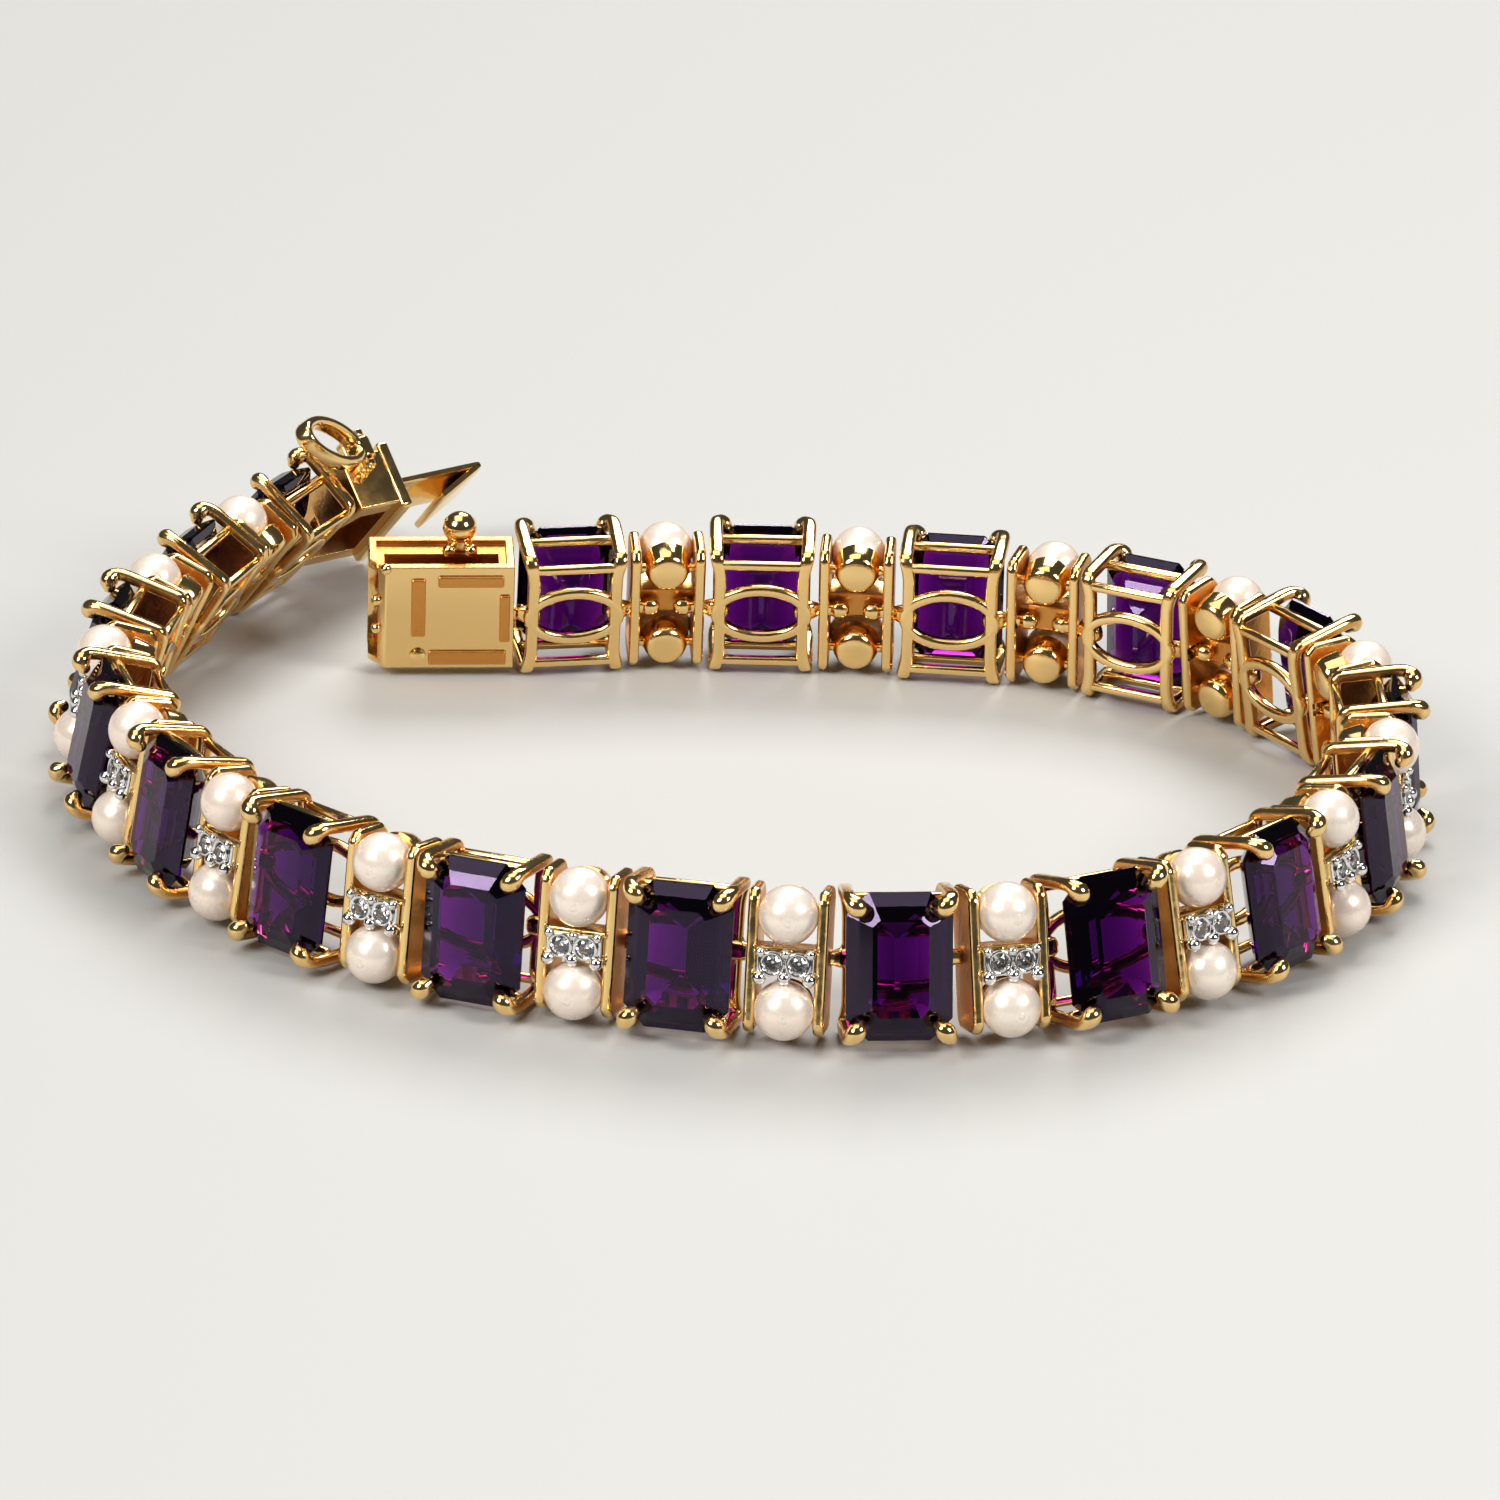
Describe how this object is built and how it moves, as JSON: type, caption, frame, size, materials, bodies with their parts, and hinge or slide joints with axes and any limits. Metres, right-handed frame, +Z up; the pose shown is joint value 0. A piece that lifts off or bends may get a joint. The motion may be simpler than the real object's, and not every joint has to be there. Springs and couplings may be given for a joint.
{
  "type": "gemstone bracelet",
  "caption": "Line bracelet of claw-set step-cut purple stones and pearl links, with a box clasp and flip-over safety catch, standing open on its edge.",
  "frame": {"origin": "middle of the bracelet's outline, on the surface it stands on", "axes": "+Z up, +X to the right and +Y away, seen from the side opposite the clasp"},
  "size_m": [0.0688, 0.0678, 0.0107],
  "materials": {
    "gold": "polished",
    "amethyst": "polished facets",
    "pearl": "pearl lustre",
    "white_metal": "polished",
    "zircon": "polished facets"
  },
  "bodies": {
    "bracelet": {"clasp_box": "gold", "clasp_tongue": "gold", "amethyst_setting_01": "gold", "amethyst_setting_02": "gold", "amethyst_setting_03": "gold", "amethyst_setting_04": "gold", "amethyst_setting_05": "gold", "amethyst_setting_06": "gold", "amethyst_setting_07": "gold", "amethyst_setting_08": "gold", "amethyst_setting_09": "gold", "amethyst_setting_10": "gold", "amethyst_setting_11": "gold", "amethyst_setting_12": "gold", "amethyst_setting_13": "gold", "amethyst_setting_14": "gold", "amethyst_setting_15": "gold", "amethyst_setting_16": "gold", "amethyst_setting_17": "gold", "amethyst_setting_18": "gold", "amethyst_01": "amethyst", "amethyst_02": "amethyst", "amethyst_03": "amethyst", "amethyst_04": "amethyst", "amethyst_05": "amethyst", "amethyst_06": "amethyst", "amethyst_07": "amethyst", "amethyst_08": "amethyst", "amethyst_09": "amethyst", "amethyst_10": "amethyst", "amethyst_11": "amethyst", "amethyst_12": "amethyst", "amethyst_13": "amethyst", "amethyst_14": "amethyst", "amethyst_15": "amethyst", "amethyst_16": "amethyst", "amethyst_17": "amethyst", "amethyst_18": "amethyst", "pearl_link_01": "gold", "pearl_link_02": "gold", "pearl_link_03": "gold", "pearl_link_04": "gold", "pearl_link_05": "gold", "pearl_link_06": "gold", "pearl_link_07": "gold", "pearl_link_08": "gold", "pearl_link_09": "gold", "pearl_link_10": "gold", "pearl_link_11": "gold", "pearl_link_12": "gold", "pearl_link_13": "gold", "pearl_link_14": "gold", "pearl_link_15": "gold", "pearl_link_16": "gold", "pearl_link_17": "gold"},
    "safety_catch": {"safety_catch": "gold"}
  },
  "joints": [
    {"name": "safety_catch_hinge", "type": "hinge", "parent": "bracelet", "child": "safety_catch", "pos_m": [-0.01991, 0.0266, 0.0076], "axis": [-0.4056, 0.5792, 0.7071], "range_deg": [-15, 145]}
  ]
}
